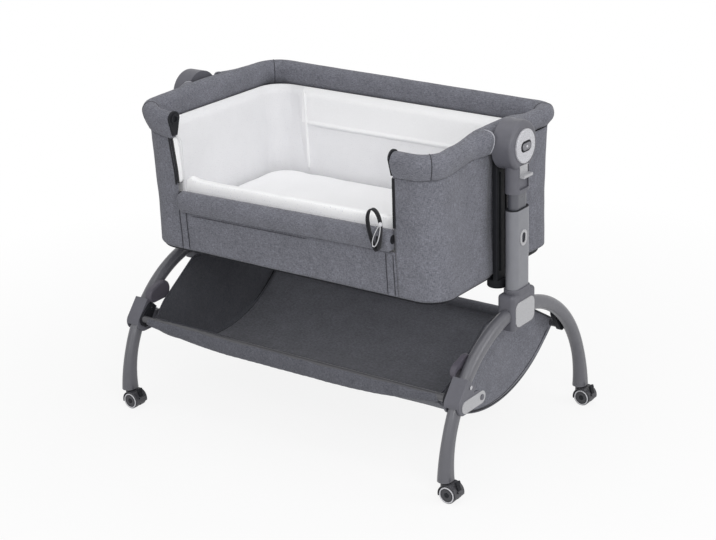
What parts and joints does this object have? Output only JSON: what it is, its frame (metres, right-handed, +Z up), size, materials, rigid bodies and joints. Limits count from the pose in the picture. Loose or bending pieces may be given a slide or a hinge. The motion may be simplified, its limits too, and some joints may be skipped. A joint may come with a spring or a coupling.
{
  "type": "bedside sleeper crib",
  "caption": "Grey fabric bedside crib with a lowered side, on height-adjustable posts, arched castor legs and a storage basket.",
  "frame": {"origin": "On the floor, under the middle of the bounding box.", "axes": "+X along the crib to its right-hand end seen from the open side, -Y towards the open bedside, +Z up."},
  "size_m": [0.924, 0.596, 0.728],
  "materials": {
    "frame_paint": "satin grey powder coat",
    "post_paint": "satin mid grey",
    "tube_metal": "plain dark tube",
    "inner_metal": "drawn tube",
    "grey_plastic": "fine-grained moulding",
    "black_plastic": "fine-grained moulding",
    "silver_plastic": "silver lacquered moulding",
    "wheel_plastic": "hard castor tread",
    "rivet_steel": "bright",
    "grey_fabric": "heather linen weave",
    "white_fabric": "soft quilted knit",
    "basket_fabric": "plain dark weave",
    "black_webbing": "woven webbing",
    "board": "raw fibreboard"
  },
  "bodies": {
    "base": {"arch_right": "frame_paint", "base_housing_right": "grey_plastic", "outer_post_right": "post_paint", "leg_bracket_right": "grey_plastic", "arch_left": "frame_paint", "base_housing_left": "grey_plastic", "outer_post_left": "post_paint", "leg_bracket_left": "grey_plastic", "base_plates": "silver_plastic", "post_windows": "silver_plastic", "post_bushes": "black_plastic", "bracket_plates": "silver_plastic", "bracket_covers": "grey_plastic", "bracket_pins": "rivet_steel", "basket_lugs": "black_plastic", "basket_rails": "tube_metal", "basket_pad": "grey_fabric", "storage_basket": "basket_fabric"},
    "post_right": {"inner_post_right": "inner_metal", "hub_housing_right": "grey_plastic", "hub_disc_right": "silver_plastic"},
    "height_lever_right": {"height_lever_right": "silver_plastic"},
    "hub_button_right": {"hub_button_right": "silver_plastic"},
    "front_leg_right": {"front_leg_right": "frame_paint"},
    "leg_button_right": {"leg_button_right": "silver_plastic"},
    "castor_body_front_right": {"castor_body_front_right": "black_plastic"},
    "castor_wheels_front_right": {"castor_wheels_front_right": "wheel_plastic"},
    "castor_brake_front_right": {"castor_brake_front_right": "black_plastic"},
    "castor_body_rear_right": {"castor_body_rear_right": "black_plastic"},
    "castor_wheels_rear_right": {"castor_wheels_rear_right": "wheel_plastic"},
    "castor_brake_rear_right": {"castor_brake_rear_right": "black_plastic"},
    "post_left": {"inner_post_left": "inner_metal", "hub_housing_left": "grey_plastic", "hub_disc_left": "silver_plastic"},
    "height_lever_left": {"height_lever_left": "silver_plastic"},
    "hub_button_left": {"hub_button_left": "silver_plastic"},
    "front_leg_left": {"front_leg_left": "frame_paint"},
    "leg_button_left": {"leg_button_left": "silver_plastic"},
    "castor_body_front_left": {"castor_body_front_left": "black_plastic"},
    "castor_wheels_front_left": {"castor_wheels_front_left": "wheel_plastic"},
    "castor_brake_front_left": {"castor_brake_front_left": "black_plastic"},
    "castor_body_rear_left": {"castor_body_rear_left": "black_plastic"},
    "castor_wheels_rear_left": {"castor_wheels_rear_left": "wheel_plastic"},
    "castor_brake_rear_left": {"castor_brake_rear_left": "black_plastic"},
    "crib": {"hub_carrier_right": "black_plastic", "hub_carrier_left": "black_plastic", "rim_tubes": "tube_metal", "rim_sleeve_rear": "grey_fabric", "rim_sleeve_front_right": "grey_fabric", "rim_sleeve_front_left": "grey_fabric", "rail_sockets": "black_plastic", "outer_cover": "grey_fabric", "front_panel": "grey_fabric", "lining": "white_fabric", "bottom_frame": "tube_metal", "floor_board": "board", "mattress": "white_fabric"},
    "drop_side": {"drop_rail": "tube_metal", "drop_padding": "grey_fabric", "strap_loop": "black_webbing"}
  },
  "joints": [
    {"name": "height_right", "type": "slide", "parent": "base", "child": "post_right", "axis": [0, 0, 1], "range_m": [-0.024, 0.096]},
    {"name": "height_left", "type": "slide", "parent": "base", "child": "post_left", "axis": [0, 0, 1], "range_m": [-0.024, 0.096]},
    {"name": "crib_swing", "type": "hinge", "parent": "post_right", "child": "crib", "pos_m": [0.39733, 0, 0.676], "axis": [1, 0, 0], "range_deg": [-8, 8]},
    {"name": "side_rail_drop", "type": "slide", "parent": "crib", "child": "drop_side", "axis": [0, 0, 1], "range_m": [0, 0.171]},
    {"name": "height_lever_pull_right", "type": "hinge", "parent": "post_right", "child": "height_lever_right", "pos_m": [0.44073, 0, 0.635], "axis": [0, -1, 0], "range_deg": [0, 15], "stiffness_Nm_per_rad": 0.4},
    {"name": "hub_button_press_right", "type": "slide", "parent": "post_right", "child": "hub_button_right", "axis": [-1, 0, 0], "range_m": [0, 0.003], "stiffness_N_per_m": 1500},
    {"name": "front_leg_fold_right", "type": "hinge", "parent": "base", "child": "front_leg_right", "pos_m": [0.42603, -0.2342, 0.19378], "axis": [1, 0, 0], "range_deg": [0, 80]},
    {"name": "leg_button_press_right", "type": "slide", "parent": "base", "child": "leg_button_right", "axis": [-1, 0, 0], "range_m": [0, 0.0025], "stiffness_N_per_m": 1500},
    {"name": "castor_swivel_front_right", "type": "hinge", "parent": "front_leg_right", "child": "castor_body_front_right", "pos_m": [0.42603, -0.278, 0.044], "axis": [0, 0, 1], "continuous": true},
    {"name": "castor_roll_front_right", "type": "hinge", "parent": "castor_body_front_right", "child": "castor_wheels_front_right", "pos_m": [0.43803, -0.278, 0.019], "axis": [0, 1, 0], "continuous": true},
    {"name": "castor_brake_press_front_right", "type": "hinge", "parent": "castor_body_front_right", "child": "castor_brake_front_right", "pos_m": [0.45917, -0.278, 0.02669], "axis": [0, -1, 0], "range_deg": [0, 8]},
    {"name": "castor_swivel_rear_right", "type": "hinge", "parent": "base", "child": "castor_body_rear_right", "pos_m": [0.42603, 0.278, 0.044], "axis": [0, 0, 1], "continuous": true},
    {"name": "castor_roll_rear_right", "type": "hinge", "parent": "castor_body_rear_right", "child": "castor_wheels_rear_right", "pos_m": [0.43803, 0.278, 0.019], "axis": [0, 1, 0], "continuous": true},
    {"name": "castor_brake_press_rear_right", "type": "hinge", "parent": "castor_body_rear_right", "child": "castor_brake_rear_right", "pos_m": [0.45917, 0.278, 0.02669], "axis": [0, -1, 0], "range_deg": [0, 8]},
    {"name": "height_lever_pull_left", "type": "hinge", "parent": "post_left", "child": "height_lever_left", "pos_m": [-0.44867, 0, 0.635], "axis": [0, 1, 0], "range_deg": [0, 15], "stiffness_Nm_per_rad": 0.4},
    {"name": "hub_button_press_left", "type": "slide", "parent": "post_left", "child": "hub_button_left", "axis": [1, 0, 0], "range_m": [0, 0.003], "stiffness_N_per_m": 1500},
    {"name": "front_leg_fold_left", "type": "hinge", "parent": "base", "child": "front_leg_left", "pos_m": [-0.43397, -0.2342, 0.19378], "axis": [1, 0, 0], "range_deg": [0, 80]},
    {"name": "leg_button_press_left", "type": "slide", "parent": "base", "child": "leg_button_left", "axis": [1, 0, 0], "range_m": [0, 0.0025], "stiffness_N_per_m": 1500},
    {"name": "castor_swivel_front_left", "type": "hinge", "parent": "front_leg_left", "child": "castor_body_front_left", "pos_m": [-0.43397, -0.278, 0.044], "axis": [0, 0, 1], "continuous": true},
    {"name": "castor_roll_front_left", "type": "hinge", "parent": "castor_body_front_left", "child": "castor_wheels_front_left", "pos_m": [-0.42197, -0.278, 0.019], "axis": [0, 1, 0], "continuous": true},
    {"name": "castor_brake_press_front_left", "type": "hinge", "parent": "castor_body_front_left", "child": "castor_brake_front_left", "pos_m": [-0.40083, -0.278, 0.02669], "axis": [0, -1, 0], "range_deg": [0, 8]},
    {"name": "castor_swivel_rear_left", "type": "hinge", "parent": "base", "child": "castor_body_rear_left", "pos_m": [-0.43397, 0.278, 0.044], "axis": [0, 0, 1], "continuous": true},
    {"name": "castor_roll_rear_left", "type": "hinge", "parent": "castor_body_rear_left", "child": "castor_wheels_rear_left", "pos_m": [-0.42197, 0.278, 0.019], "axis": [0, 1, 0], "continuous": true},
    {"name": "castor_brake_press_rear_left", "type": "hinge", "parent": "castor_body_rear_left", "child": "castor_brake_rear_left", "pos_m": [-0.40083, 0.278, 0.02669], "axis": [0, -1, 0], "range_deg": [0, 8]}
  ],
  "couplings": [
    {"joint": "height_left", "follows": "height_right", "ratio": 1}
  ]
}
